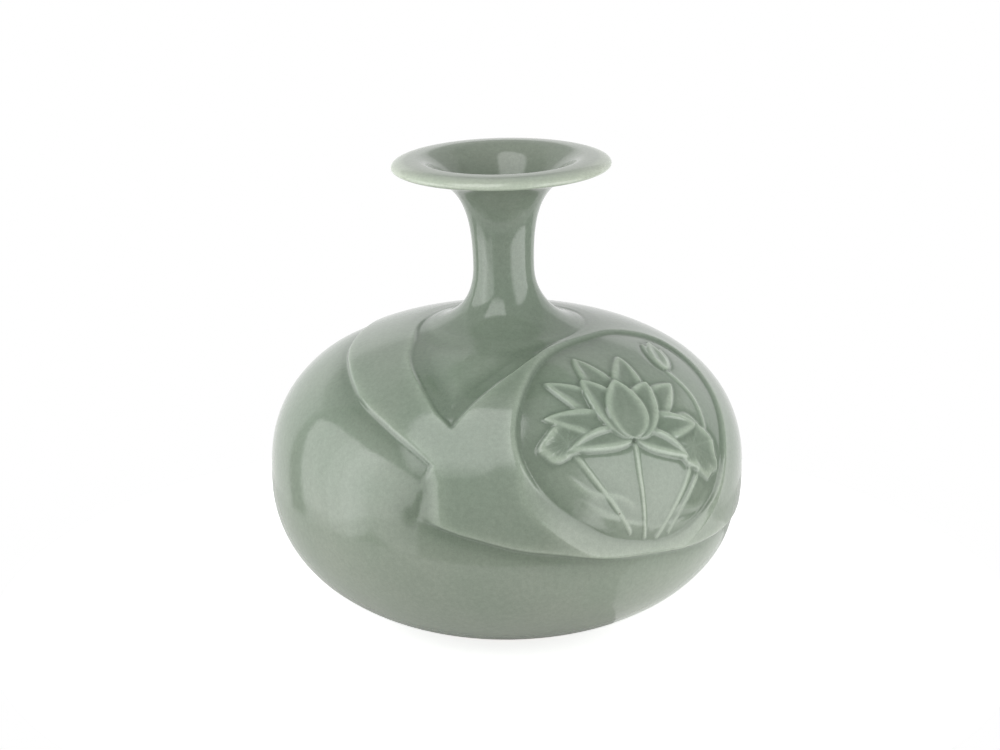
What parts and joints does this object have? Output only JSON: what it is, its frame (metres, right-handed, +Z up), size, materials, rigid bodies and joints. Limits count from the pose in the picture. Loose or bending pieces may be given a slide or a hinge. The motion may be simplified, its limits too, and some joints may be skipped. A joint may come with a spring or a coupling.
{
  "type": "bud vase",
  "caption": "Squat round celadon bud vase with a narrow neck, a wide flat mouth and carved relief on the shoulder, for one or a few stems.",
  "frame": {"origin": "centre of the foot ring's contact face, on the surface that the vase stands on", "axes": "+Z up along the body's axis; the front of the vase faces -Y; the neck leans 1.4 degrees towards -X"},
  "size_m": [0.1312, 0.1314, 0.1298],
  "materials": {
    "celadon_glaze": "glossy grey-green celadon glaze over pale stoneware",
    "bare_clay": "unglazed, wiped stoneware"
  },
  "bodies": {
    "root": {"foot_ring": "bare_clay", "lower_body": "celadon_glaze", "upper_body": "celadon_glaze", "neck": "celadon_glaze", "mouth": "celadon_glaze"}
  },
  "joints": []
}
